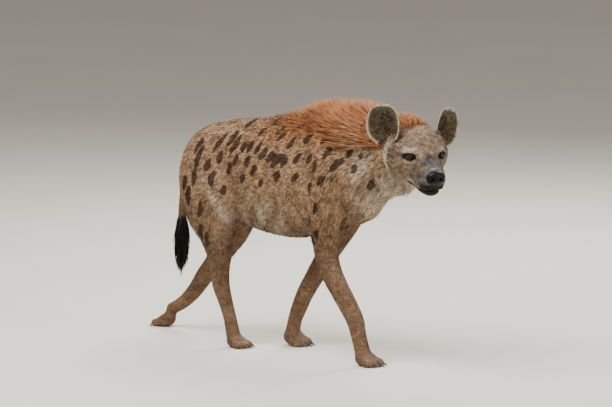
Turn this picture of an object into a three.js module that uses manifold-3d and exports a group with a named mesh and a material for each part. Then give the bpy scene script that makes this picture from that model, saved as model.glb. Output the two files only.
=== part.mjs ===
// A spotted hyena walking, life size, with its head turned to its right.
// Millimetres. +X is forward, +Y is the animal's left, +Z is up, and the floor is at Z = 0.
import * as THREE from "three";
import { mergeVertices } from "three/addons/utils/BufferGeometryUtils.js";
import Module from "manifold-3d";

// Driving sizes
const WITHERS = 797;
const CROUP = 738;
const BELLY = 360;
const CHEST_HALF = 138;
const HIP_HALF = 118;
const SHOULDER_X = 275;
const HIP_X = -335;
const NECK_SEAM_X = 345;
const EYE_MIDDLE = new THREE.Vector3(673, -71, 706);
const HEAD_YAW = THREE.MathUtils.degToRad(-23);
const HEAD_PITCH = THREE.MathUtils.degToRad(12);
const EYE_RADIUS = 14;
const EYE_SPREAD = 53;
const EAR_HEIGHT = 136;
const EAR_WIDTH = 104;
const MANE_LENGTH = 74;
const SEAM = 0.3;
const SOLE_SINK = 3.5;

const LEFT = new THREE.Vector3(0, 1, 0);
const UP = new THREE.Vector3(0, 0, 1);

const wasm = await Module();
wasm.setup();

// A closed geometry as a solid, turned to face outwards.
function solid(geometry) {
  geometry.deleteAttribute("normal");
  geometry.deleteAttribute("uv");
  const merged = mergeVertices(geometry, 1e-3);
  const triVerts = new Uint32Array(merged.index.array);
  const vertProperties = new Float32Array(merged.attributes.position.array);
  const made = new wasm.Manifold(new wasm.Mesh({ numProp: 3, vertProperties, triVerts }));
  if (made.volume() > 0) return made;
  for (let i = 0; i < triVerts.length; i += 3) {
    [triVerts[i + 1], triVerts[i + 2]] = [triVerts[i + 2], triVerts[i + 1]];
  }
  return new wasm.Manifold(new wasm.Mesh({ numProp: 3, vertProperties, triVerts }));
}

// Moves each vertex of a geometry to what place() gives for it.
function shaped(geometry, place) {
  const position = geometry.attributes.position;
  const from = new THREE.Vector3();
  for (let i = 0; i < position.count; i++) {
    const to = place(from.fromBufferAttribute(position, i));
    position.setXYZ(i, to.x, to.y, to.z);
  }
  return geometry;
}

function join(pieces) {
  return pieces.reduce((whole, piece) => whole.add(piece));
}

// The largest closed surface of a solid.
function largest(made) {
  const bodies = made.decompose();
  return bodies.reduce((best, body) => (body.volume() > best.volume() ? body : best));
}

function geometryOf(made) {
  const mesh = made.getMesh();
  return new THREE.BufferGeometry()
    .setAttribute("position", new THREE.BufferAttribute(mesh.vertProperties, 3))
    .setIndex(new THREE.BufferAttribute(mesh.triVerts, 1));
}

// One cross section: its middle, then its reach to the side, to the top or front, and to the underside or back.
function section(x, y, z, side, top, under) {
  return { at: new THREE.Vector3(x, y, z), reach: new THREE.Vector3(side, top, under) };
}

// A smooth body through a list of cross sections.
function bodyThrough(sections, { sides = 16, steps = 2, square = 1, pinch = 0 } = {}) {
  const path = new THREE.CatmullRomCurve3(sections.map((s) => s.at));
  const girth = new THREE.CatmullRomCurve3(sections.map((s) => s.reach));
  const rings = (sections.length - 1) * steps;

  // The point of the surface at a share of the path and an angle, 0 at the animal's left and a quarter turn at the top.
  function point(share, angle, grow = 0) {
    const reach = girth.getPoint(share);
    const along = path.getTangent(share);
    const top = new THREE.Vector3().crossVectors(along, LEFT).normalize();
    const side = new THREE.Vector3().crossVectors(top, along);
    const across = Math.sign(Math.cos(angle)) * Math.abs(Math.cos(angle)) ** square;
    const height = Math.sign(Math.sin(angle)) * Math.abs(Math.sin(angle)) ** square;
    const narrowed = 1 - pinch * Math.max(0, height) ** 2;
    const tall = height > 0 ? reach.y : reach.z;
    return path
      .getPoint(share)
      .addScaledVector(side, (Math.max(reach.x, 1) * narrowed + grow) * across)
      .addScaledVector(top, (Math.max(tall, 1) + grow) * height);
  }

  function made(grow = 0) {
    const tube = new THREE.CylinderGeometry(1, 1, 1, sides, rings);
    return solid(
      shaped(tube, (v) => {
        const share = 0.5 - v.y;
        if (Math.hypot(v.x, v.z) < 0.5) return path.getPoint(share);
        return point(share, Math.atan2(v.x, v.z), grow);
      }),
    );
  }

  function outward(share, angle) {
    return point(share, angle, 1).sub(point(share, angle)).normalize();
  }

  return { point, outward, made, path };
}

// A flat tapered lock that bends as it leaves its root. grow makes the space that it needs.
function lock({ root, aim, bend, face, length, width, thick }, grow = 0) {
  const middle = (t) =>
    root.clone().addScaledVector(aim, length * t).addScaledVector(bend, length * t * t);
  const across = new THREE.Vector3().crossVectors(aim, face).normalize();
  const depth = new THREE.Vector3().crossVectors(across, aim).normalize();
  return solid(
    shaped(new THREE.CylinderGeometry(1, 1, 1, 4, 2), (v) => {
      const t = v.y + 0.5;
      const taper = 1 - 0.92 * t ** 3;
      return middle(t * (1 + grow / length))
        .addScaledVector(across, v.x * ((width / 2) * taper + 2 * grow))
        .addScaledVector(depth, v.z * ((thick / 2) * taper + 2 * grow));
    }),
  );
}

// A repeatable draw from 0 to 1.
function drawFrom(seed) {
  let state = seed;
  return () => {
    state = (state * 1664525 + 1013904223) % 4294967296;
    return state / 4294967296;
  };
}

function ball(at, radii, turn = new THREE.Euler(), detail = [14, 10]) {
  const matrix = new THREE.Matrix4().compose(
    at,
    new THREE.Quaternion().setFromEuler(turn),
    new THREE.Vector3(...radii),
  );
  return solid(new THREE.SphereGeometry(1, ...detail).applyMatrix4(matrix));
}

function slab(low, high) {
  const size = new THREE.Vector3().subVectors(high, low);
  const middle = new THREE.Vector3().addVectors(low, high).multiplyScalar(0.5);
  return solid(new THREE.BoxGeometry(size.x, size.y, size.z).translate(...middle.toArray()));
}

// Parts a solid by a plane, with the seam's gap. The first piece is the one that the normal points to.
function part(made, through, normal) {
  const n = normal.clone().normalize();
  const level = n.dot(through);
  return [
    made.trimByPlane(n.toArray(), level + SEAM / 2),
    made.trimByPlane(n.clone().negate().toArray(), -(level - SEAM / 2)),
  ];
}

// Torso and neck, from the buttocks to the nape
function trunkSection(x, y, top, bottom, half, level = 0.46) {
  const z = bottom + (top - bottom) * level;
  return section(x, y, z, half, top - z, z - bottom);
}
const TRUNK_SECTIONS = [
  trunkSection(HIP_X - 134, 0, CROUP - 128, 560, 34),
  trunkSection(HIP_X - 122, 0, CROUP - 96, 500, 74),
  trunkSection(HIP_X - 88, 0, CROUP - 54, 452, HIP_HALF - 14),
  trunkSection(HIP_X - 34, 0, CROUP - 18, 418, HIP_HALF),
  trunkSection(HIP_X + 50, 0, CROUP, 395, HIP_HALF + 2),
  trunkSection(HIP_X + 140, 0, CROUP + 14, BELLY + 26, HIP_HALF),
  trunkSection(HIP_X + 240, 0, CROUP + 27, BELLY + 5, CHEST_HALF - 6),
  trunkSection(HIP_X + 345, 0, CROUP + 40, BELLY, CHEST_HALF),
  trunkSection(HIP_X + 445, 0, WITHERS - 10, BELLY + 16, CHEST_HALF - 2),
  trunkSection(SHOULDER_X - 80, 0, WITHERS, BELLY + 40, CHEST_HALF - 10),
  trunkSection(SHOULDER_X - 15, 0, WITHERS - 4, BELLY + 62, CHEST_HALF - 26),
  trunkSection(SHOULDER_X + 45, 0, WITHERS - 12, BELLY + 96, CHEST_HALF - 42, 0.5),
  trunkSection(SHOULDER_X + 100, -1, WITHERS - 18, BELLY + 136, CHEST_HALF - 54, 0.5),
  trunkSection(SHOULDER_X + 155, -8, WITHERS - 24, BELLY + 162, CHEST_HALF - 58, 0.5),
  trunkSection(SHOULDER_X + 205, -20, WITHERS - 30, BELLY + 180, CHEST_HALF - 60, 0.5),
  trunkSection(SHOULDER_X + 252, -33, WITHERS - 36, BELLY + 190, CHEST_HALF - 60, 0.5),
  trunkSection(SHOULDER_X + 300, -48, WITHERS - 46, BELLY + 198, CHEST_HALF - 64, 0.5),
];
const trunk = bodyThrough(TRUNK_SECTIONS, { sides: 20, steps: 2, square: 0.94, pinch: 0.16 });

// Head, in its own frame: U forward from the middle of the eyes, V to its left, W up
const HEAD_SECTIONS = [
  section(-150, 0, -8, 74, 60, 76),
  section(-122, 0, -8, 90, 76, 90),
  section(-92, 0, -12, 103, 88, 96),
  section(-56, 0, -18, 105, 94, 94),
  section(-22, 0, -22, 92, 88, 90),
  section(6, 0, -28, 75, 72, 82),
  section(32, 0, -34, 62, 56, 76),
  section(60, 0, -43, 52, 48, 67),
  section(88, 0, -49, 47, 43, 57),
  section(110, 0, -53, 41, 39, 48),
  section(124, 0, -57, 30, 29, 34),
  section(128, 0, -59, 14, 16, 18),
];
const headForm = bodyThrough(HEAD_SECTIONS, { sides: 22, steps: 2, square: 0.92, pinch: 0.1 });
const headPose = new THREE.Matrix4().compose(
  EYE_MIDDLE,
  new THREE.Quaternion().setFromEuler(new THREE.Euler(0, HEAD_PITCH, HEAD_YAW, "ZYX")),
  new THREE.Vector3(1, 1, 1),
);

const ROOT = new THREE.Group();
const headGroup = new THREE.Group();
headGroup.applyMatrix4(headPose);
ROOT.add(headGroup);

const COLOURS = {
  coat: new THREE.MeshStandardMaterial({ color: 0xa98a66, roughness: 0.9 }),
  mane: new THREE.MeshStandardMaterial({ color: 0xb06c3c, roughness: 0.9 }),
  face: new THREE.MeshStandardMaterial({ color: 0x9a8973, roughness: 0.9 }),
  leg: new THREE.MeshStandardMaterial({ color: 0x8a6e52, roughness: 0.9 }),
  ear: new THREE.MeshStandardMaterial({ color: 0x5f5a48, roughness: 0.85 }),
  tail: new THREE.MeshStandardMaterial({ color: 0x1c1512, roughness: 0.8 }),
  eye: new THREE.MeshStandardMaterial({ color: 0x24120a, roughness: 0.1 }),
  nose: new THREE.MeshStandardMaterial({ color: 0x14161a, roughness: 0.4 }),
  claw: new THREE.MeshStandardMaterial({ color: 0x2a2622, roughness: 0.5 }),
};

function addNode(group, name, made, material) {
  const mesh = new THREE.Mesh(geometryOf(made), material.clone());
  mesh.name = name;
  group.add(mesh);
}

// Eyes, seated in the skull, with a lid above and a lid below each
function eyeAt(side) {
  return new THREE.Vector3(16, side * EYE_SPREAD, 0);
}
function eyeAim(side) {
  return new THREE.Vector3(0.8, side * 0.6, 0.04).normalize();
}
function eyeFrame(side) {
  const aim = eyeAim(side);
  const across = new THREE.Vector3().crossVectors(UP, aim).normalize();
  return { aim, across, high: new THREE.Vector3().crossVectors(aim, across) };
}
function socket(side) {
  const { aim, across, high } = eyeFrame(side);
  const frame = new THREE.Matrix4().makeBasis(aim, across, high);
  const turn = new THREE.Euler().setFromRotationMatrix(frame);
  return ball(eyeAt(side).addScaledVector(aim, 13), [14, 17, 10], turn, [12, 8]);
}
function lid(side, rise) {
  const { aim, across, high } = eyeFrame(side);
  const points = [];
  for (let i = 0; i <= 6; i++) {
    const turn = Math.PI * (i / 6);
    const thick = 2.2 + 2.6 * Math.sin(turn);
    const at = eyeAt(side)
      .addScaledVector(across, 18 * Math.cos(turn))
      .addScaledVector(high, rise * Math.sin(turn))
      .addScaledVector(aim, 4 + 6 * Math.sin(turn));
    points.push(section(at.x, at.y, at.z, thick, thick, thick));
  }
  return bodyThrough(points, { sides: 5, steps: 1 }).made();
}

// The line of the mouth, from its corner round to the front of the muzzle
const MOUTH_FROM = 0.5;
const MOUTH_TO = 0.97;
function mouthLine(side) {
  const points = [];
  for (let i = 0; i <= 6; i++) {
    const share = THREE.MathUtils.lerp(MOUTH_FROM, MOUTH_TO, i / 6);
    const fall = THREE.MathUtils.degToRad(i < 6 ? 34 + 9 * Math.sin((Math.PI * i) / 6) : 80);
    const angle = side > 0 ? -fall : fall - Math.PI;
    const at = headForm.point(share, angle);
    points.push(section(at.x, at.y, at.z, 3.4, 2.6, 2.6));
  }
  return bodyThrough(points, { sides: 4, steps: 1 }).made();
}

// The nose pad, with its two nostrils
const NOSE_MIDDLE = new THREE.Vector3(121, 0, -40);
function nosePad(grow) {
  return ball(NOSE_MIDDLE, [16 + grow, 30 + grow, 23 + grow], undefined, [12, 7]);
}
function nostril(side) {
  const at = NOSE_MIDDLE.clone().add(new THREE.Vector3(12, side * 15, -1));
  return ball(at, [9, 8, 6], new THREE.Euler(side * 0.5, 0, side * 0.5), [8, 6]);
}

// An ear: a curved sheet with a rolled base, thin at its rim
function ear(side) {
  const base = new THREE.Vector3(-78, side * 62, 32);
  const lean = new THREE.Vector3(-0.1, side * 0.62, 0.78).normalize();
  const facing = new THREE.Vector3(0.74, side * 0.62, -0.2);
  const across = new THREE.Vector3().crossVectors(lean, facing).normalize();
  const front = new THREE.Vector3().crossVectors(across, lean).normalize();
  return solid(
    shaped(new THREE.BoxGeometry(1, 1, 1, 7, 6, 1), (v) => {
      const tall = v.y + 0.5;
      const over = v.x * 2;
      const open = Math.sqrt(Math.max(0, 1 - ((tall - 0.52) / 0.5) ** 2));
      const half = (EAR_WIDTH / 2) * Math.max(open ** 0.8, tall < 0.5 ? 0.5 : 0.16);
      const curl = (1 - tall) * 0.95 + 0.34;
      const turn = over * curl;
      const thick = 2 + 6 * (1 - tall) + 2.5 * (1 - over * over);
      const radius = half / Math.max(Math.sin(curl), 0.4);
      return base
        .clone()
        .addScaledVector(lean, EAR_HEIGHT * tall)
        .addScaledVector(across, Math.sin(turn) * (radius + v.z * thick * -1))
        .addScaledVector(front, (1 - Math.cos(turn)) * radius + v.z * thick * Math.cos(turn));
    }),
  );
}

// Head with its sockets, lids, mouth and nostrils, still joined to the neck's end
const EYES = [-1, 1];
let head = headForm.made();
for (const side of EYES) {
  head = join([head.subtract(socket(side)), lid(side, 11), lid(side, -9.5)]);
  head = head.subtract(ball(eyeAt(side), Array(3).fill(EYE_RADIUS + SEAM), undefined, [12, 8]));
  head = head.subtract(mouthLine(side));
}
const nose = EYES.reduce((made, side) => made.subtract(nostril(side)), nosePad(0));
head = head.subtract(nosePad(SEAM));

for (const side of EYES) {
  const letter = side > 0 ? "L" : "R";
  const eyeball = ball(eyeAt(side), Array(3).fill(EYE_RADIUS), undefined, [12, 8]);
  addNode(headGroup, "eye_" + letter, eyeball, COLOURS.eye);
  const made = largest(ear(side).subtract(headForm.made(SEAM)));
  addNode(headGroup, "ear_" + letter, made, COLOURS.ear);
}
addNode(headGroup, "nose", nose, COLOURS.nose);
addNode(headGroup, "head", largest(head), COLOURS.face);

// Legs: sections from inside the body down to the ankle, as reach to the side, to the front and to the back
const FORE_R = [
  section(190, -40, 730, 26, 50, 50),
  section(222, -70, 676, 40, 74, 72),
  section(254, -88, 596, 47, 80, 86),
  section(268, -97, 516, 46, 66, 86),
  section(258, -101, 436, 42, 52, 70),
  section(258, -99, 372, 38, 46, 54),
  section(274, -96, 300, 34, 42, 44),
  section(312, -92, 240, 31, 38, 40),
  section(352, -90, 185, 30, 38, 36),
  section(380, -87, 140, 29, 36, 33),
  section(396, -85, 90, 27, 29, 31),
  section(414, -83, 36, 29, 28, 31),
];
const FORE_L = [
  section(176, 40, 730, 26, 50, 50),
  section(196, 70, 676, 40, 74, 72),
  section(205, 88, 596, 47, 78, 86),
  section(192, 97, 516, 46, 68, 84),
  section(152, 101, 436, 42, 56, 68),
  section(104, 99, 366, 37, 46, 50),
  section(54, 96, 298, 32, 38, 40),
  section(8, 92, 234, 30, 36, 35),
  section(-32, 90, 180, 29, 35, 31),
  section(-58, 87, 130, 28, 33, 29),
  section(-76, 85, 84, 26, 27, 28),
  section(-86, 83, 36, 28, 25, 29),
];
const HIND_R = [
  section(-352, -34, 680, 30, 70, 60),
  section(-346, -60, 618, 48, 112, 98),
  section(-326, -80, 536, 55, 130, 118),
  section(-292, -92, 456, 52, 114, 112),
  section(-254, -98, 376, 45, 78, 84),
  section(-240, -98, 308, 37, 52, 56),
  section(-238, -96, 250, 30, 38, 42),
  section(-234, -94, 200, 27, 33, 40),
  section(-218, -92, 148, 25, 29, 30),
  section(-200, -90, 96, 24, 26, 26),
  section(-184, -88, 38, 27, 26, 28),
];
const HIND_L = [
  section(-352, 34, 680, 30, 70, 60),
  section(-352, 60, 618, 48, 110, 96),
  section(-348, 80, 536, 55, 120, 106),
  section(-350, 92, 450, 52, 98, 98),
  section(-368, 96, 370, 45, 70, 74),
  section(-412, 96, 300, 37, 52, 52),
  section(-462, 94, 236, 30, 38, 38),
  section(-510, 92, 180, 27, 32, 38),
  section(-556, 90, 128, 25, 28, 32),
  section(-608, 88, 88, 24, 26, 26),
  section(-672, 87, 56, 26, 26, 26),
];

// A paw: a rounded ball behind four toes, each with its own claw. Its sole reaches just below the floor.
const TOE_SPREAD = [-1.5, -0.5, 0.5, 1.5];
function paw(at, size, pitch) {
  const ballOf = bodyThrough(
    [
      section(-40, 0, 40, 12, 14, 14),
      section(-18, 0, 31, 30, 27, 26),
      section(4, 0, 28, 37, 26, 27),
      section(26, 0, 22, 30, 18, 22),
      section(40, 0, 20, 12, 8, 12),
    ],
    { sides: 9, steps: 1 },
  ).made();
  const parts = TOE_SPREAD.map((place) => {
    const reach = 1 - 0.11 * (Math.abs(place) - 0.5);
    const toe = bodyThrough(
      [
        section(2 * reach, place * 15, 24, 9, 9, 11),
        section(22 * reach, place * 18, 23, 12.5, 13, 15),
        section(43 * reach, place * 20, 17, 12.5, 13, 17),
        section(58 * reach, place * 20, 12, 4, 5, 7),
      ],
      { sides: 5, steps: 1 },
    ).made();
    const claw = bodyThrough(
      [
        section(48 * reach, place * 20, 17, 4, 4.4, 4.4),
        section(64 * reach, place * 20.5, 13, 2.8, 3.6, 3.4),
        section(73 * reach, place * 21, 7, 0.9, 1.2, 1.2),
      ],
      { sides: 4, steps: 1 },
    ).made();
    return { toe, claw };
  });
  const turn = new THREE.Quaternion().setFromAxisAngle(LEFT, THREE.MathUtils.degToRad(pitch));
  const pose = new THREE.Matrix4().compose(at, turn, new THREE.Vector3(size, size, size));
  const pad = join([ballOf, ...parts.map(({ toe }) => toe)]).transform(pose.elements);
  const drop = [0, 0, -SOLE_SINK - pad.boundingBox().min[2]];
  const claws = parts.map(({ claw }) => {
    return claw.transform(pose.elements).translate(drop).trimByPlane(UP.toArray(), 0);
  });
  return { pad: pad.translate(drop), claws };
}

// Each leg leaves the body at a level plane, and is parted again at its knee and at its ankle
const LEGS = [
  { name: "foreleg_R", rows: FORE_R, off: 372, knee: 7, ankle: 10, foot: [424, -82], size: 1, pitch: 0 },
  { name: "foreleg_L", rows: FORE_L, off: 366, knee: 7, ankle: 10, foot: [-78, 82], size: 1, pitch: 4 },
  { name: "hindleg_R", rows: HIND_R, off: 356, knee: 6, ankle: 9, foot: [-172, -87], size: 0.9, pitch: 0 },
  { name: "hindleg_L", rows: HIND_L, off: 356, knee: 6, ankle: 9, foot: [-700, 87], size: 0.9, pitch: 140 },
];
let torso = trunk.made();
for (const leg of LEGS) {
  const form = bodyThrough(leg.rows, { sides: 14, steps: 1, square: 0.95 });
  const { pad, claws } = paw(new THREE.Vector3(...leg.foot, 40), leg.size, leg.pitch);
  const [rooted, free] = part(form.made(), new THREE.Vector3(0, 0, leg.off), UP);
  torso = torso.add(rooted);
  const whole = free.add(pad).trimByPlane(UP.toArray(), 0);
  const count = leg.rows.length - 1;
  const along = (row) => form.path.getTangent(row / count).negate();
  const [upper, below] = part(whole, leg.rows[leg.knee].at, along(leg.knee));
  const [lower, foot] = part(below, leg.rows[leg.ankle].at, along(leg.ankle));
  addNode(ROOT, leg.name + "_upper", largest(upper), COLOURS.leg);
  addNode(ROOT, leg.name + "_lower", largest(lower), COLOURS.leg);
  addNode(ROOT, leg.name + "_foot", largest(foot.subtract(join(claws))), COLOURS.leg);
  const reach = new THREE.Vector3(SEAM, 0, 0).applyAxisAngle(LEFT, THREE.MathUtils.degToRad(leg.pitch));
  claws.forEach((claw, i) => {
    const nail = largest(claw.subtract(pad)).translate(reach.toArray());
    addNode(ROOT, `claw_${leg.name}_${i + 1}`, nail, COLOURS.claw);
  });
}

// Tail: a thin stem with a long tuft of locks that hides its end
const TAIL_SECTIONS = [
  section(-440, 0, 612, 26, 24, 24),
  section(-474, 0, 590, 22, 20, 20),
  section(-496, 0, 545, 17, 17, 17),
  section(-510, 0, 480, 15, 15, 15),
  section(-517, 0, 410, 15, 16, 16),
  section(-520, 0, 350, 15, 15, 15),
  section(-522, 0, 290, 9, 9, 9),
  section(-523, 0, 268, 3, 3, 3),
];
const tailForm = bodyThrough(TAIL_SECTIONS, { sides: 10, steps: 1 });
const TUFT_ROWS = 3;
const TUFT_ROUND = 5;
function tuftLocks() {
  const draw = drawFrom(7);
  const made = [];
  for (let row = 0; row < TUFT_ROWS; row++) {
    for (let i = 0; i < TUFT_ROUND; i++) {
      const share = 0.48 + (0.4 * row) / (TUFT_ROWS - 1);
      const angle = ((i + 0.5 * (row % 2)) / TUFT_ROUND) * Math.PI * 2;
      const out = tailForm.outward(share, angle);
      const root = tailForm.point(share, angle).addScaledVector(out, -6);
      const aim = new THREE.Vector3(0, 0, -1).addScaledVector(out, 0.26).normalize();
      const length = 108 + 18 * draw() - 6 * row;
      const bend = out.clone().multiplyScalar(-0.2);
      made.push(lock({ root, aim, bend, face: out, length, width: 26, thick: 11 }));
    }
  }
  return made;
}
const tail = largest(join([tailForm.made(), ...tuftLocks()]).subtract(trunk.made(SEAM).add(torso)));
addNode(ROOT, "tail", tail, COLOURS.tail);

// Mane: rows of locks from the nape to the middle of the back, over a low crest, longest over the shoulders
const MANE_FROM = 0.46;
const MANE_TO = 0.965;
const MANE_ROWS = [
  { degrees: 46, columns: 11 },
  { degrees: 70, columns: 16 },
  { degrees: 90, columns: 17 },
  { degrees: 110, columns: 16 },
  { degrees: 134, columns: 11 },
];
function maneHeight(share) {
  const begin = THREE.MathUtils.smoothstep(share, MANE_FROM - 0.02, MANE_FROM + 0.2);
  const end = 1 - 0.35 * THREE.MathUtils.smoothstep(share, 0.85, 1);
  return MANE_LENGTH * (0.3 + 0.7 * begin) * end;
}
function maneLock(degrees, share, draw) {
  const angle = THREE.MathUtils.degToRad(degrees + 8 * (draw() - 0.5));
  const out = trunk.outward(share, angle);
  const back = trunk.path.getTangent(share).negate();
  const crest = Math.sin(angle) ** 3;
  const length = maneHeight(share) * (0.45 + 0.65 * crest) * (0.9 + 0.25 * draw());
  const lie = 1.7 - 1.1 * crest + 0.3 * draw();
  const sag = new THREE.Vector3(0, 0, -0.5 * (1 - crest));
  const aim = out.clone().addScaledVector(back, lie).add(sag).normalize();
  const bend = back.clone().multiplyScalar(0.25).addScaledVector(out, -0.12);
  const root = trunk.point(share, angle).addScaledVector(out, -6);
  const face = new THREE.Vector3(0, Math.cos(angle) < 0 ? -1 : 1, 0).addScaledVector(out, 0.3 * (1 - crest));
  return { root, aim, bend, face, length: length + 8, width: 38 + 10 * draw(), thick: 12 };
}
const drawMane = drawFrom(11);
const mane = MANE_ROWS.flatMap(({ degrees, columns }, row) =>
  Array.from({ length: columns }, (_, i) => {
    const share = MANE_FROM + ((MANE_TO - MANE_FROM) * (i + 0.5 * (row % 2))) / columns;
    return maneLock(degrees, share, drawMane);
  }),
);
const CREST_ROWS = 11;
const crest = bodyThrough(
  Array.from({ length: CREST_ROWS }, (_, i) => {
    const share = THREE.MathUtils.lerp(MANE_FROM - 0.02, MANE_TO - 0.01, i / (CREST_ROWS - 1));
    const at = trunk.point(share, Math.PI / 2);
    const ends = Math.sin((Math.PI * (i + 0.5)) / CREST_ROWS) ** 0.4;
    return section(at.x, at.y, at.z - 12, 34 * ends, (12 + 0.45 * maneHeight(share)) * ends, 20);
  }),
  { sides: 8, steps: 1, pinch: 0.5 },
).made();

const seamAt = new THREE.Vector3(NECK_SEAM_X, 0, 0);
const [neckBody, torsoBody] = part(torso.add(crest), seamAt, new THREE.Vector3(1, 0, 0));
const onNeck = ({ root }) => root.x > NECK_SEAM_X;
const onTorso = (shape) => !onNeck(shape);
const neckSpace = join(mane.filter(onNeck).map((shape) => lock(shape, SEAM)));
const neckLocks = join(mane.filter(onNeck).map((shape) => lock(shape)));
const torsoLocks = join(mane.filter(onTorso).map((shape) => lock(shape)));
ROOT.updateMatrixWorld(true);
const headRoom = headForm.made(SEAM);
const headWorld = headRoom.add(headRoom.translate([-SEAM, 0, 0])).transform(headPose.elements);
const neck = largest(neckBody.add(neckLocks.subtract(torsoBody)).subtract(headWorld));
addNode(ROOT, "neck", neck, COLOURS.mane);
addNode(ROOT, "torso", largest(torsoBody.add(torsoLocks).subtract(neckSpace)), COLOURS.coat);

// The origin is the middle of the part, on the floor
const box = new THREE.Box3().setFromObject(ROOT, true);
ROOT.position.set(-(box.min.x + box.max.x) / 2, -(box.min.y + box.max.y) / 2, 0);

export default ROOT;
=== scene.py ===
"""A life-size spotted hyena in the middle of a stride, with its head turned to its right.

Lengths are in metres, and inside the head in millimetres. The animal is laid out around the point
under its belly, and OFFSET brings it into the row frame.
"""
import itertools
import math

import bmesh
import bpy
import numpy as np
from mathutils import Euler, Matrix, Vector


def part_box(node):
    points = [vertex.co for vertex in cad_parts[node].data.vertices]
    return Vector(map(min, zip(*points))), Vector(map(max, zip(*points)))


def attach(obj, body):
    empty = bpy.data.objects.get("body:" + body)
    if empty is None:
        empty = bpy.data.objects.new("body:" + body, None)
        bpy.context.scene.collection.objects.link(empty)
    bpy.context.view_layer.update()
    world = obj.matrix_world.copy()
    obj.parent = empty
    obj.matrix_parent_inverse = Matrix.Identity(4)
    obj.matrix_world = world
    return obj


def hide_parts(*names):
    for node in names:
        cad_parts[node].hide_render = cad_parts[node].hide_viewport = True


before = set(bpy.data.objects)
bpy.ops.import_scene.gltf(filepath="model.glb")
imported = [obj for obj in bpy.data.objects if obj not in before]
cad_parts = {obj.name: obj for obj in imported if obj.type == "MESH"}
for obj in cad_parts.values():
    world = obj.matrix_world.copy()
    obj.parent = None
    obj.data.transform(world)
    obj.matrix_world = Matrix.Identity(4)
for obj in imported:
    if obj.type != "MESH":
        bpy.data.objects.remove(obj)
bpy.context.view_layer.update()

MM = 0.001
LEFT = np.array([0.0, 1.0, 0.0])

# The animal's right side and its left one
SIDES = (-1, 1)

# Depth of the coat over the skin
BODY_COAT = 0.011
LEG_COAT = 0.004
FACE_COAT = 0.002

# Head: its frame, then its eyes
EYE_MIDDLE = Vector((0.673, -0.071, 0.706))
HEAD_TURN = Euler((0, math.radians(12), math.radians(-23)), "XYZ").to_matrix()
EYE_FORWARD = 16
EYE_OUT = 53
EYE_RADIUS = 14
GAZE = (0.93, -0.3, 0.05)


def middle(node):
    low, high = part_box(node)
    return (low + high) / 2


EYES_IN_ROW = (middle("eye_R") + middle("eye_L")) / 2
OFFSET = EYES_IN_ROW - EYE_MIDDLE - HEAD_TURN @ Vector((EYE_FORWARD * MM, 0, 0))
HEAD_POSE = Matrix.Translation(EYE_MIDDLE) @ HEAD_TURN.to_4x4() @ Matrix.Scale(MM, 4)


# Small sums on arrays

def unit(v):
    """Vectors brought to a length of 1."""
    return v / np.maximum(np.linalg.norm(v, axis=-1, keepdims=True), 1e-9)


def step(low, high, x):
    """0 below low, 1 above high, and smooth between."""
    t = np.clip((x - low) / (high - low), 0, 1)
    return t * t * (3 - 2 * t)


def mix(a, b, t):
    """From a, where t is 0, to b, where it is 1."""
    return a + (b - a) * t


def hump(x, width):
    """1 at 0, falling off smoothly to both sides."""
    return np.exp(-((x / width) ** 2))


def curve(rows, share):
    """A smooth curve through rows of numbers, at shares from 0 to 1 of its way."""
    rows = np.asarray(rows, float)
    rows = np.vstack([2 * rows[0] - rows[1], rows, 2 * rows[-1] - rows[-2]])
    place = np.clip(share, 0, 1) * (len(rows) - 3)
    i = np.minimum(place.astype(int), len(rows) - 4)
    t = (place - i)[..., None]
    a, b, c, d = rows[i], rows[i + 1], rows[i + 2], rows[i + 3]
    return 0.5 * (2 * b + (c - a) * t + (2 * a - 5 * b + 4 * c - d) * t**2 + (3 * b - a - 3 * c + d) * t**3)


def ripple(p, size, seed, waves=7):
    """A soft irregular pattern from -1 to 1, with patches of about the given size."""
    source = np.random.default_rng(seed)
    total = np.zeros(len(p))
    for _ in range(waves):
        way = unit(source.normal(size=3)) * (source.uniform(0.7, 1.5) * math.tau / (2.2 * size))
        total += np.sin(p @ way + source.uniform(0, math.tau))
    return total / math.sqrt(waves) / 1.4


LEAST_REACH = 1e-4


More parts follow.
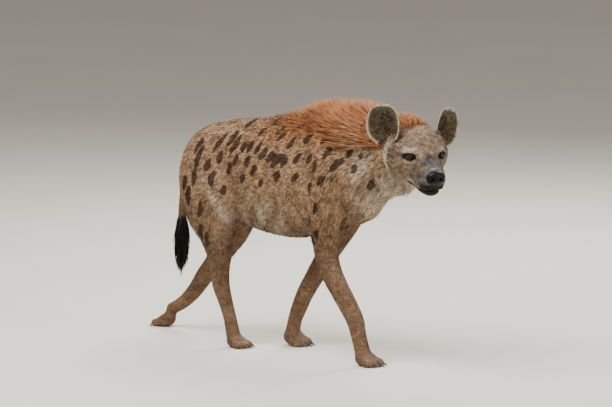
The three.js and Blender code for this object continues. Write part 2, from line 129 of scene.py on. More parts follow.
class Form:
    """A smooth body through cross sections.

    Each row gives a section's middle, then its reach to the side, to the top or front, and downwards.
    """

    def __init__(self, rows, square=1.0, pinch=0.0):
        self.rows = np.array(rows, float)
        self.square = square
        self.pinch = pinch

    def frame(self, share):
        share = np.asarray(share, float)
        at = curve(self.rows[:, :3], share)
        nudge = 0.004
        along = unit(curve(self.rows[:, :3], share + nudge) - curve(self.rows[:, :3], share - nudge))
        top = unit(np.cross(along, LEFT))
        return at, along, top, np.cross(top, along), np.maximum(curve(self.rows[:, 3:], share), 0)

    def point(self, share, angle, grow=0.0):
        at, _, top, side, reach = self.frame(share)
        across = np.sign(np.cos(angle)) * np.abs(np.cos(angle)) ** self.square
        height = np.sign(np.sin(angle)) * np.abs(np.sin(angle)) ** self.square
        narrowed = 1 - self.pinch * np.maximum(0, height) ** 2
        tall = np.where(height > 0, reach[..., 1], reach[..., 2])
        wide = np.maximum(reach[..., 0] * narrowed + grow, LEAST_REACH) * across
        high = np.maximum(tall + grow, LEAST_REACH) * height
        return at + side * wide[..., None] + top * high[..., None]

    def build(self, bm, sides, rings, grow=0.0, place=Matrix()):
        """Rings of vertices along the form, bridged from each to the next and closed at both ends."""
        made = []
        last = None
        for share in np.linspace(0, 1, rings + 1):
            ring = bmesh.ops.create_circle(bm, segments=sides, radius=1)["verts"]
            angles = np.array([math.atan2(v.co.y, v.co.x) for v in ring])
            for vert, co in zip(ring, self.point(np.full(sides, share), angles, grow)):
                vert.co = place @ Vector(co)
            edges = list(dict.fromkeys(edge for vert in ring for edge in vert.link_edges))
            if last is None:
                bmesh.ops.contextual_create(bm, geom=edges)
            else:
                bmesh.ops.bridge_loops(bm, edges=last + edges)
            last = edges
            made += ring
        bmesh.ops.contextual_create(bm, geom=last)
        return made


# The animal's forms

def trunk_row(x, y, top, bottom, half, level=0.46):
    z = bottom + (top - bottom) * level
    return x, y, z, half, top - z, z - bottom


TRUNK = Form([
    trunk_row(-0.469, 0, 0.610, 0.560, 0.034),
    trunk_row(-0.457, 0, 0.642, 0.500, 0.074),
    trunk_row(-0.423, 0, 0.684, 0.452, 0.104),
    trunk_row(-0.369, 0, 0.720, 0.418, 0.118),
    trunk_row(-0.285, 0, 0.738, 0.395, 0.120),
    trunk_row(-0.195, 0, 0.752, 0.386, 0.118),
    trunk_row(-0.095, 0, 0.765, 0.365, 0.132),
    trunk_row(0.010, 0, 0.778, 0.360, 0.138),
    trunk_row(0.110, 0, 0.787, 0.376, 0.136),
    trunk_row(0.195, 0, 0.797, 0.400, 0.128),
    trunk_row(0.260, 0, 0.793, 0.422, 0.112),
    trunk_row(0.320, 0, 0.785, 0.456, 0.096, 0.5),
    trunk_row(0.375, -0.001, 0.779, 0.496, 0.084, 0.5),
    trunk_row(0.430, -0.008, 0.773, 0.522, 0.080, 0.5),
    trunk_row(0.480, -0.020, 0.767, 0.540, 0.078, 0.5),
    trunk_row(0.527, -0.033, 0.761, 0.550, 0.078, 0.5),
    trunk_row(0.575, -0.048, 0.751, 0.558, 0.074, 0.5),
], square=0.94, pinch=0.16)

HEAD = Form([
    (-150, 0, -8, 74, 60, 76), (-122, 0, -8, 90, 76, 90), (-92, 0, -12, 103, 88, 96),
    (-56, 0, -18, 105, 94, 94), (-22, 0, -22, 92, 88, 90), (6, 0, -28, 75, 72, 82),
    (32, 0, -34, 62, 56, 76), (60, 0, -43, 52, 48, 67), (88, 0, -49, 47, 43, 57),
    (110, 0, -53, 41, 39, 48), (124, 0, -57, 30, 29, 34), (128, 0, -59, 14, 16, 18),
], square=0.92, pinch=0.1)

TAIL = Form([
    (-0.440, 0, 0.612, 0.026, 0.024, 0.024), (-0.474, 0, 0.590, 0.022, 0.020, 0.020),
    (-0.496, 0, 0.545, 0.017, 0.017, 0.017), (-0.510, 0, 0.480, 0.015, 0.015, 0.015),
    (-0.517, 0, 0.410, 0.015, 0.016, 0.016), (-0.520, 0, 0.350, 0.015, 0.015, 0.015),
    (-0.522, 0, 0.290, 0.009, 0.009, 0.009), (-0.523, 0, 0.268, 0.003, 0.003, 0.003),
])

LEGS = {
    "foreleg_R": Form([
        (0.190, -0.040, 0.730, 0.026, 0.050, 0.050), (0.222, -0.070, 0.676, 0.040, 0.074, 0.072),
        (0.254, -0.088, 0.596, 0.047, 0.080, 0.086), (0.268, -0.097, 0.516, 0.046, 0.066, 0.086),
        (0.258, -0.101, 0.436, 0.042, 0.052, 0.070), (0.258, -0.099, 0.372, 0.038, 0.046, 0.054),
        (0.274, -0.096, 0.300, 0.034, 0.042, 0.044), (0.312, -0.092, 0.240, 0.031, 0.038, 0.040),
        (0.352, -0.090, 0.185, 0.030, 0.038, 0.036), (0.380, -0.087, 0.140, 0.029, 0.036, 0.033),
        (0.396, -0.085, 0.090, 0.027, 0.029, 0.031), (0.414, -0.083, 0.036, 0.029, 0.028, 0.031),
    ], square=0.95),
    "foreleg_L": Form([
        (0.176, 0.040, 0.730, 0.026, 0.050, 0.050), (0.196, 0.070, 0.676, 0.040, 0.074, 0.072),
        (0.205, 0.088, 0.596, 0.047, 0.078, 0.086), (0.192, 0.097, 0.516, 0.046, 0.068, 0.084),
        (0.152, 0.101, 0.436, 0.042, 0.056, 0.068), (0.104, 0.099, 0.366, 0.037, 0.046, 0.050),
        (0.054, 0.096, 0.298, 0.032, 0.038, 0.040), (0.008, 0.092, 0.234, 0.030, 0.036, 0.035),
        (-0.032, 0.090, 0.180, 0.029, 0.035, 0.031), (-0.058, 0.087, 0.130, 0.028, 0.033, 0.029),
        (-0.076, 0.085, 0.084, 0.026, 0.027, 0.028), (-0.086, 0.083, 0.036, 0.028, 0.025, 0.029),
    ], square=0.95),
    "hindleg_R": Form([
        (-0.352, -0.034, 0.680, 0.030, 0.070, 0.060), (-0.346, -0.060, 0.618, 0.048, 0.112, 0.098),
        (-0.326, -0.080, 0.536, 0.055, 0.130, 0.118), (-0.292, -0.092, 0.456, 0.052, 0.114, 0.112),
        (-0.254, -0.098, 0.376, 0.045, 0.078, 0.084), (-0.240, -0.098, 0.308, 0.037, 0.052, 0.056),
        (-0.238, -0.096, 0.250, 0.030, 0.038, 0.042), (-0.234, -0.094, 0.200, 0.027, 0.033, 0.040),
        (-0.218, -0.092, 0.148, 0.025, 0.029, 0.030), (-0.200, -0.090, 0.096, 0.024, 0.026, 0.026),
        (-0.184, -0.088, 0.038, 0.027, 0.026, 0.028),
    ], square=0.95),
    "hindleg_L": Form([
        (-0.352, 0.034, 0.680, 0.030, 0.070, 0.060), (-0.352, 0.060, 0.618, 0.048, 0.110, 0.096),
        (-0.348, 0.080, 0.536, 0.055, 0.120, 0.106), (-0.350, 0.092, 0.450, 0.052, 0.098, 0.098),
        (-0.368, 0.096, 0.370, 0.045, 0.070, 0.074), (-0.412, 0.096, 0.300, 0.037, 0.052, 0.052),
        (-0.462, 0.094, 0.236, 0.030, 0.038, 0.038), (-0.510, 0.092, 0.180, 0.027, 0.032, 0.038),
        (-0.556, 0.090, 0.128, 0.025, 0.028, 0.032), (-0.608, 0.088, 0.088, 0.024, 0.026, 0.026),
        (-0.672, 0.087, 0.056, 0.026, 0.026, 0.026),
    ], square=0.95),
}

# Paws: place, size, and how far the foot is pitched forward. Each is built in the air, then let down until
# its sole is a little under the floor, where the skin is cut level.
PAWS = {
    "foreleg_R": ((0.424, -0.082), 1.0, 0),
    "foreleg_L": ((-0.078, 0.082), 1.0, 4),
    "hindleg_R": ((-0.172, -0.087), 0.9, 0),
    "hindleg_L": ((-0.700, 0.087), 0.9, 140),
}
PAW_LIFT = 0.04
SOLE_SINK = 0.0035
TOE_PLACES = (-1.5, -0.5, 0.5, 1.5)
PAD = Form([
    (-40, 0, 40, 12, 14, 14), (-18, 0, 31, 30, 27, 26), (4, 0, 28, 37, 26, 27),
    (26, 0, 22, 30, 18, 22), (40, 0, 20, 12, 8, 12),
])


def toe(place):
    """One toe, the outer ones shorter than the middle ones."""
    reach = 1 - 0.11 * (abs(place) - 0.5)
    return Form([
        (2 * reach, place * 15, 24, 9, 9, 11), (22 * reach, place * 18, 23, 12.5, 13, 15),
        (43 * reach, place * 20, 17, 12.5, 13, 17), (58 * reach, place * 20, 12, 4, 5, 7),
    ])


def build_paw(bm, place, size, pitch):
    """A pad and four toes."""
    turn = Matrix.Rotation(math.radians(pitch), 4, "Y")
    pose = Matrix.Translation((*place, PAW_LIFT)) @ turn @ Matrix.Scale(size * MM, 4)
    made = PAD.build(bm, 20, 14, -1.5, pose)
    for number in TOE_PLACES:
        made += toe(number).build(bm, 14, 12, -1.2, pose)
    drop = -SOLE_SINK - min(vert.co.z for vert in made)
    bmesh.ops.translate(bm, vec=(0, 0, drop), verts=made)


NOSE_AT = Vector((121, 0, -40))
NOSE_SIZE = (16, 30, 23)


def build_body(bm):
    """All the forms, still crossing one another."""
    TRUNK.build(bm, 40, 64, -BODY_COAT)
    HEAD.build(bm, 40, 44, -FACE_COAT / MM, HEAD_POSE)
    TAIL.build(bm, 14, 40, -0.002)
    nose = HEAD_POSE @ Matrix.Translation(NOSE_AT) @ Matrix.Diagonal((*NOSE_SIZE, 1))
    bmesh.ops.create_uvsphere(bm, u_segments=28, v_segments=18, radius=1, matrix=nose)
    for name, form in LEGS.items():
        form.build(bm, 28, 44, -LEG_COAT)
        build_paw(bm, *PAWS[name])
    bmesh.ops.recalc_face_normals(bm, faces=bm.faces)


# From forms to one skin

def applied(obj):
    """The object's mesh with its modifiers taken up."""
    bpy.context.view_layer.update()
    made = bpy.data.meshes.new_from_object(obj.evaluated_get(bpy.context.evaluated_depsgraph_get()))
    obj.modifiers.clear()
    obj.data = made


def linked(name, mesh):
    """An object for a mesh, lamp or camera, in the scene."""
    obj = bpy.data.objects.new(name, mesh)
    bpy.context.scene.collection.objects.link(obj)
    return obj


def from_bmesh(name, bm):
    mesh = bpy.data.meshes.new(name)
    bm.to_mesh(mesh)
    bm.free()
    return linked(name, mesh)


def places(mesh):
    co = np.empty(len(mesh.vertices) * 3)
    mesh.vertices.foreach_get("co", co)
    return co.reshape(-1, 3)


def edge_pairs(mesh):
    pairs = np.empty(len(mesh.edges) * 2, int)
    mesh.edges.foreach_get("vertices", pairs)
    return pairs.reshape(-1, 2)


def relaxed(values, pairs, times, strength):
    """Values on vertices, each drawn towards the mean of its neighbours."""
    values = np.array(values, float)
    count = len(values)
    a, b = pairs.T
    near = np.maximum(np.bincount(a, minlength=count) + np.bincount(b, minlength=count), 1)
    strength = np.broadcast_to(strength, count)[:, None]
    for _ in range(times):
        total = np.stack([
            np.bincount(a, column[b], count) + np.bincount(b, column[a], count) for column in values.T
        ], axis=1)
        values += strength * (total / near[:, None] - values)
    return values


def in_head(co):
    """Places in the head's own frame, in millimetres."""
    return (co - np.array(EYE_MIDDLE)) @ np.array(HEAD_TURN) / MM


def out_of_head(p):
    return p * MM @ np.array(HEAD_TURN).T + np.array(EYE_MIDDLE)


def head_share(p):
    """How much a place belongs to the head: 1 on the face, 0 behind the jaw."""
    inside = (np.abs(p[:, 1]) < 128) & (np.abs(p[:, 2] + 12) < 128)
    return step(-130, -80, p[:, 0]) * inside


SKIN_VOXEL = 0.0057

# Heights between which the limbs become one with the trunk, and where the tail leaves it
LIMB_JOIN = (0.31, 0.42)
TAIL_ROOT = -0.462

# The far hind heel: where it ends, and the height at which its foot begins
HEEL_X = (-0.66, -0.60)
HEEL_Z = (0.03, 0.05)

body = bmesh.new()
build_body(body)
skin = from_bmesh("skin", body)
union = skin.modifiers.new("union", "REMESH")
union.mode = "VOXEL"
union.voxel_size = SKIN_VOXEL
applied(skin)


def soften_joins():
    """Melts the shoulders and thighs into the trunk, and takes the steps off the rest."""
    co = places(skin.data)
    pairs = edge_pairs(skin.data)
    face = head_share(in_head(co))
    upper = step(*LIMB_JOIN, co[:, 2]) * (1 - face) * (co[:, 0] > TAIL_ROOT)
    lifted_heel = 0.8 * (1 - step(*HEEL_X, co[:, 0])) * step(*HEEL_Z, co[:, 2])
    co = relaxed(co, pairs, 26, 0.5 * np.maximum(upper, lifted_heel))
    for strength in (0.5, -0.52) * 3:
        co = relaxed(co, pairs, 1, strength)
    skin.data.vertices.foreach_set("co", co.ravel())


soften_joins()


def refine(chosen):
    """Splits each face whose middle the test picks into four."""
    bm = bmesh.new()
    bm.from_mesh(skin.data)
    centres = np.array([face.calc_center_median() for face in bm.faces])
    picked = chosen(in_head(centres))
    edges = dict.fromkeys(edge for face, wanted in zip(bm.faces, picked) if wanted for edge in face.edges)
    bmesh.ops.subdivide_edges(bm, edges=list(edges), cuts=1, use_grid_fill=True, smooth=0.6)
    bm.to_mesh(skin.data)
    bm.free()


def on_head(p):
    return (p[:, 0] > -75) & (np.abs(p[:, 1]) < 128) & (np.abs(p[:, 2] + 12) < 125)


def around(p, at, radius):
    """Whether each place is within a radius of a point."""
    return np.linalg.norm(p - np.array(at), axis=1) < radius


def mouth_height(u):
    """Height of the line between the lips, from the cheek to the front."""
    return np.interp(u, (-4, 12, 40, 70, 100, 124, 140), (-80, -85, -91, -93, -88, -79, -77))


def on_features(p):
    eyes = around(np.where([False, True, False], np.abs(p), p), (EYE_FORWARD + 8, EYE_OUT + 6, 0), 30)
    lips = (p[:, 0] > 2) & (np.abs(p[:, 2] - mouth_height(p[:, 0])) < 11)
    return on_head(p) & (eyes | lips | around(p, NOSE_AT, 36))


refine(on_head)
refine(on_features)


# The carving of the face

def eye_axes(side):
    """Directions at an eye: out of the socket, towards the nose, and up."""
    aim = unit(np.array([0.8, side * 0.6, 0.04]))
    across = unit(np.cross([0, 0, 1], aim))
    return aim, -side * across, np.cross(aim, across)


def eye_centre(side):
    return np.array([EYE_FORWARD, side * EYE_OUT, 0.0])


LID_TILT = -0.05

# Opening between the lids: half its width, then its reach up and down
LIDS_OUT = 15.5
LIDS_UP = 8.8
LIDS_DOWN = 6.8
SOCKET_GAP = 1.2


def eye_reach(p, side):
    """Place at an eye along its axes, and distance as shares of the opening between its lids."""
    aim, inner, high = eye_axes(side)
    d = p - eye_centre(side)
    x, y, z = d @ inner, d @ high, d @ aim
    y = y + LID_TILT * x
    return x, y, z, np.hypot(x / LIDS_OUT, y / np.where(y > 0, LIDS_UP, LIDS_DOWN))


def carve_eye(p, side):
    """Opens the socket, and lays the lids round the eyeball, with a fold over the upper one and a brow."""
    aim, inner, high = eye_axes(side)
    x, y, z, reach = eye_reach(p, side)
    near = (z > -3) & (reach < 3.4)
    rim = np.sqrt(np.clip((EYE_RADIUS + SOCKET_GAP) ** 2 - x**2 - y**2, 16, None)) + SOCKET_GAP
    lids = mix(rim, z, step(1.15, 2.8, reach))
    lids += 1.1 * hump(reach - 1.22, 0.16) - 1.2 * hump(reach - 1.75, 0.16) * (y > 0)
    lids += 3.0 * hump(x + 2, 22) * hump(y - 19, 7)
    z = np.where(near, mix(3.5, lids, step(0.84, 1.0, reach)), z)
    return eye_centre(side) + np.outer(x, inner) + np.outer(y - LID_TILT * x, high) + np.outer(z, aim)


def carve_nose(p):
    """The nostrils, the slits beside them, and the groove down the middle."""
    u, v, w = p.T.copy()
    ahead = u > 108
    hole = np.hypot((np.abs(v) - 13.5) / 7.5, (w + 41 + 0.3 * (np.abs(v) - 13.5)) / 5.6)
    u -= 11 * (1 - step(0.3, 1.0, hole)) * ahead
    slit = hump(w + 45, 2.4) * step(15, 20, np.abs(v)) * (1 - step(26, 30, np.abs(v)))
    u -= 4 * slit * ahead
    u -= 2.6 * hump(v, 1.7) * step(-70, -62, w) * (1 - step(-44, -36, w)) * ahead
    return np.stack([u, v, w], axis=1)


JAW_DROP = 9


def carve_mouth(p):
    """The lips and the line between them, with the lower jaw let down."""
    u, v, w = p.T
    gap = w - mouth_height(u)
    way = unit(np.stack([np.maximum(u - 100, 0) / 26, v / 40, 0 * u], axis=1))
    lips = 1.8 * hump(gap - 6.5, 4.2) + 1.4 * hump(gap + 6, 4) - 5 * hump(gap, 2.1)
    under = step(0, 12, -gap) * step(10, 60, u) * (1 - 0.5 * step(110, 126, u))
    return p + way * (lips * step(-4, 8, u))[:, None] - np.outer(under, (0, 0, JAW_DROP))


SOLE_LEVEL = 0.0008


def carve_face():
    """Gives the head its features, and cuts the soles level."""
    co = places(skin.data)
    pairs = edge_pairs(skin.data)
    p = in_head(co)
    fine = on_head(p)
    co = relaxed(co, pairs, 3, 0.5 * fine)
    p = in_head(co)
    u, v, w = p.T.copy()
    p[:, 2] -= 3.5 * hump(v, 13) * step(-60, -10, u) * (1 - step(20, 60, u)) * (w > 0)
    p[:, 1] += 4 * np.sign(v) * hump(u + 30, 34) * hump(p[:, 2] + 24, 26) * step(40, 80, np.abs(v))
    carved = carve_mouth(carve_nose(p))
    for side in SIDES:
        carved = carve_eye(carved, side)
    co = np.where(fine[:, None], out_of_head(carved), co)
    co = relaxed(co, pairs, 1, 0.25 * fine)
    co[:, 2] = np.maximum(co[:, 2], SOLE_LEVEL)
    skin.data.vertices.foreach_set("co", co.ravel())


carve_face()

# Ears: a cupped sheet each, whose root lies inside the head. The left one is held lower and further out.
EAR_HEIGHT = 126
EAR_WIDTH = 110
EAR_THICK = 0.0042
EAR_BASE = {-1: np.array([-78.0, -94.0, 18.0]), 1: np.array([-78.0, 74.0, 0.0])}
EAR_LEAN = {-1: np.array([-0.11, -0.16, 0.98]), 1: np.array([-0.11, 0.32, 0.94])}
EAR_FACING = {-1: np.array([0.78, -0.6, -0.2]), 1: np.array([0.9, 0.38, -0.2])}


def ear_axes(side):
    """Directions at an ear: to its tip, across it, and out of its cup."""
    lean = unit(EAR_LEAN[side])
    across = unit(np.cross(lean, EAR_FACING[side]))
    return lean, across, unit(np.cross(across, lean))


def ear_bend(tall):
    """Radius and half angle of the ear's curved section at a share of its height."""
    open_share = np.sqrt(np.clip(1 - ((tall - 0.52) / 0.5) ** 2, 0, 1)) ** 0.8
    half = EAR_WIDTH / 2 * np.maximum(open_share, np.where(tall < 0.5, 0.5, 0.12))
    curl = (1 - tall) * 0.95 + 0.34
    return half / np.maximum(np.sin(curl), 0.4), curl


def build_ear(side):
    """One ear: a grid bent round its cup, narrower at the root and the tip, and given its thickness."""
    lean, across, front = ear_axes(side)
    bm = bmesh.new()
    bmesh.ops.create_grid(bm, x_segments=30, y_segments=28, size=1)
    for vert in bm.verts:
        tall = (vert.co.y + 1) / 2
        radius, curl = ear_bend(tall)
        turn = vert.co.x * curl
        p = EAR_BASE[side] + lean * EAR_HEIGHT * tall
        p = p + across * math.sin(turn) * radius + front * (1 - math.cos(turn)) * radius
        vert.co = HEAD_POSE @ Vector(p)
    bmesh.ops.solidify(bm, geom=bm.faces[:], thickness=EAR_THICK)
    bmesh.ops.recalc_face_normals(bm, faces=bm.faces)
    return from_bmesh("ear", bm)


def join_ears():
    """Makes the ears one with the skin."""
    for side in SIDES:
        ear = build_ear(side)
        cut = skin.modifiers.new("ear", "BOOLEAN")
        cut.operation = "UNION"
        cut.solver = "MANIFOLD"
        cut.object = ear
        applied(skin)
        bpy.data.objects.remove(ear)


join_ears()


def unwrap(obj):
    """Lays the skin's own faces out flat, for the root places of the coat."""
    bpy.ops.object.select_all(action="DESELECT")
    bpy.context.view_layer.objects.active = obj
    obj.select_set(True)
    bpy.ops.object.mode_set(mode="EDIT")
    bpy.ops.mesh.select_all(action="SELECT")
    bpy.ops.uv.smart_project(angle_limit=math.radians(66), island_margin=0.002)
    bpy.ops.object.mode_set(mode="OBJECT")
    obj.data.uv_layers.active.name = "unwrap"


unwrap(skin)

# What every place of the skin carries

# Spots of the right side, in millimetres: x, z, half length and half width, then slope in degrees
SPOTS = {
    "neck": [
        (305, 741, 25, 14, 60), (308, 643, 28, 14, 70), (317, 416, 21, 14, 80), (336, 695, 43, 14, 80),
        (363, 632, 21, 14, 70), (387, 673, 18, 11, 70), (433, 583, 28, 14, 40), (447, 500, 21, 14, 50),
        (466, 730, 25, 18, 50),
    ],
    "shoulder and foreleg": [
        (135, 585, 21, 14, 60), (135, 647, 25, 14, 60), (191, 652, 21, 14, 60), (205, 451, 21, 14, 80),
        (210, 556, 21, 14, 70), (228, 388, 21, 14, 80), (228, 626, 21, 14, 70), (247, 494, 21, 14, 75),
        (252, 413, 21, 14, 80), (266, 590, 21, 14, 70), (270, 674, 25, 14, 70),
    ],
    "back": [
        (-158, 730, 25, 11, 40), (-104, 761, 32, 11, 20), (-65, 713, 21, 11, 40),
        (-23, 774, 32, 11, 15), (-14, 747, 21, 14, 40), (17, 720, 21, 11, 40), (38, 706, 21, 11, 40),
        (103, 751, 21, 14, 40), (159, 711, 25, 14, 50), (177, 755, 21, 11, 40), (238, 715, 21, 14, 60),
        (266, 740, 25, 14, 60),
    ],
    "flank": [
        (-186, 581, 25, 14, 75), (-177, 660, 43, 14, 60), (-158, 616, 25, 14, 70),
        (-132, 659, 25, 14, 70), (-111, 558, 21, 14, 60), (-98, 664, 25, 14, 70),
        (-93, 616, 21, 14, 60), (-56, 593, 25, 14, 60), (-56, 659, 25, 14, 60), (-23, 645, 32, 18, 50),
        (-18, 554, 21, 14, 60), (14, 639, 28, 18, 40), (49, 632, 43, 18, 40), (56, 584, 21, 14, 60),
        (82, 632, 25, 14, 60), (89, 688, 25, 14, 50),
    ],
    "rump and thigh": [
        (-375, 521, 32, 14, 85), (-349, 487, 32, 14, 85), (-342, 644, 25, 14, 70),
        (-326, 545, 36, 14, 85), (-326, 610, 50, 14, 85), (-288, 369, 28, 14, 80),
        (-288, 441, 28, 14, 80), (-279, 588, 25, 14, 80), (-260, 345, 28, 14, 80),
        (-256, 662, 32, 14, 60), (-251, 549, 25, 14, 80), (-237, 615, 32, 14, 80),
        (-205, 514, 21, 14, 80), (-200, 684, 32, 14, 60),
    ],
}
LEFT_SHIFT = (0.034, -0.012)
SPOTS_END = 0.56


def spot_share(co):
    """1 in the middle of a spot, fading to 0 at its edge. The left side has the same spots, moved along."""
    left = co[:, 1] > 0
    x = co[:, 0] - LEFT_SHIFT[0] * left
    z = co[:, 2] - LEFT_SHIFT[1] * left
    edge = 1 + 0.28 * ripple(co, 0.012, 3)
    best = np.zeros(len(co))
    for at_x, at_z, half_length, half_width, slope in itertools.chain(*SPOTS.values()):
        turn = math.radians(slope)
        ahead, above = x - at_x * MM, z - at_z * MM
        along = ahead * math.cos(turn) + above * math.sin(turn)
        aside = ahead * math.sin(turn) - above * math.cos(turn)
        reach = np.hypot(along / (half_length * MM), aside / (half_width * MM)) * edge
        best = np.maximum(best, 1 - step(0.45, 1.25, reach))
    return best * (co[:, 0] < SPOTS_END)


# The trunk's middle line, the line of its back and that of its underside
PATH_STEPS = np.linspace(0, 1, 70)
UPWARDS = np.full(len(PATH_STEPS), math.pi / 2)
TRUNK_LINE = TRUNK.frame(PATH_STEPS)[0]
TRUNK_TOP = TRUNK.point(PATH_STEPS, UPWARDS)
TRUNK_LOW = TRUNK.point(PATH_STEPS, -UPWARDS)


def leg_lie(co):
    """How much each place belongs to a leg, its share down the leg, and the way down the leg there."""
    best = np.full(len(co), 9.0)
    share = np.zeros(len(co))
    way = np.tile([0.0, 0.0, -1.0], (len(co), 1))
    low = np.flatnonzero(co[:, 2] < 0.52)
    for form in LEGS.values():
        at, along = form.frame(PATH_STEPS)[:2]
        apart = np.linalg.norm(co[low, None, :].astype(np.float32) - at[None].astype(np.float32), axis=2)
        nearest = apart.argmin(1)
        gap = apart.min(1)
        closer = gap < best[low]
        chosen = low[closer]
        best[chosen] = gap[closer]
        share[chosen] = PATH_STEPS[nearest[closer]]
        way[chosen] = along[nearest[closer]]
    belongs = (1 - step(0.33, 0.50, co[:, 2])) * (1 - step(0.060, 0.095, best))
    return belongs, share, way


def ear_place(p, out):
    """Each place's share in an ear, its height there, how far across it is, and its share in the cup."""
    rows = HEAD.rows
    around_head = np.hypot(
        p[:, 1] / np.interp(p[:, 0], rows[:, 0], rows[:, 3]),
        (p[:, 2] - np.interp(p[:, 0], rows[:, 0], rows[:, 2])) / np.interp(p[:, 0], rows[:, 0], rows[:, 4]),
    )
    ear, height, over, cup = (np.zeros(len(p)) for _ in range(4))
    for side in SIDES:
        lean, across, front = ear_axes(side)
        d = p - EAR_BASE[side]
        tall = d @ lean / EAR_HEIGHT
        radius, curl = ear_bend(np.clip(tall, 0, 1))
        turn = np.arcsin(np.clip(d @ across / radius, -1, 1))
        off = d @ front - (1 - np.cos(turn)) * radius
        beside = (around_head > 1.06) & (p[:, 1] * side > 25) & (p[:, 0] < -20)
        here = beside & (np.abs(off) < 9) & (tall > 0) & (tall < 1.1)
        ear[here] = 1
        height[here] = tall[here]
        over[here] = (side * turn / curl)[here]
        into = front * np.cos(turn)[:, None] - across * np.sin(turn)[:, None]
        cup[here] = step(-0.1, 0.3, np.sum(out * into, axis=1))[here]
    return ear, height, over, cup


def eye_dark(p):
    """The dark skin round each eye, with the streak from its inner corner."""
    dark = np.zeros(len(p))
    for side in SIDES:
        x, y, z, reach = eye_reach(p, side)
        ring = 1 - step(1.25, 1.85, reach)
        streak = hump(y + 1.5 + 0.25 * (x - 14), 4.0) * step(8, 14, x) * (1 - step(22, 34, x))
        outer = hump(y - 1, 3.5) * step(-26, -20, x) * (1 - step(-14, -8, x))
        dark = np.maximum(dark, np.maximum(ring, 0.8 * np.maximum(streak, outer)) * (z > -8))
    return dark


# The hairy tail below its root
TAIL_REACH = 0.034
TAIL_TOP = 0.60
TAIL_END = 0.20

# How far the nose's bare skin reaches past its form, and where it ends behind
NOSE_MARGIN = np.array([3, 2.5, 2.5])
NOSE_BACK = 112


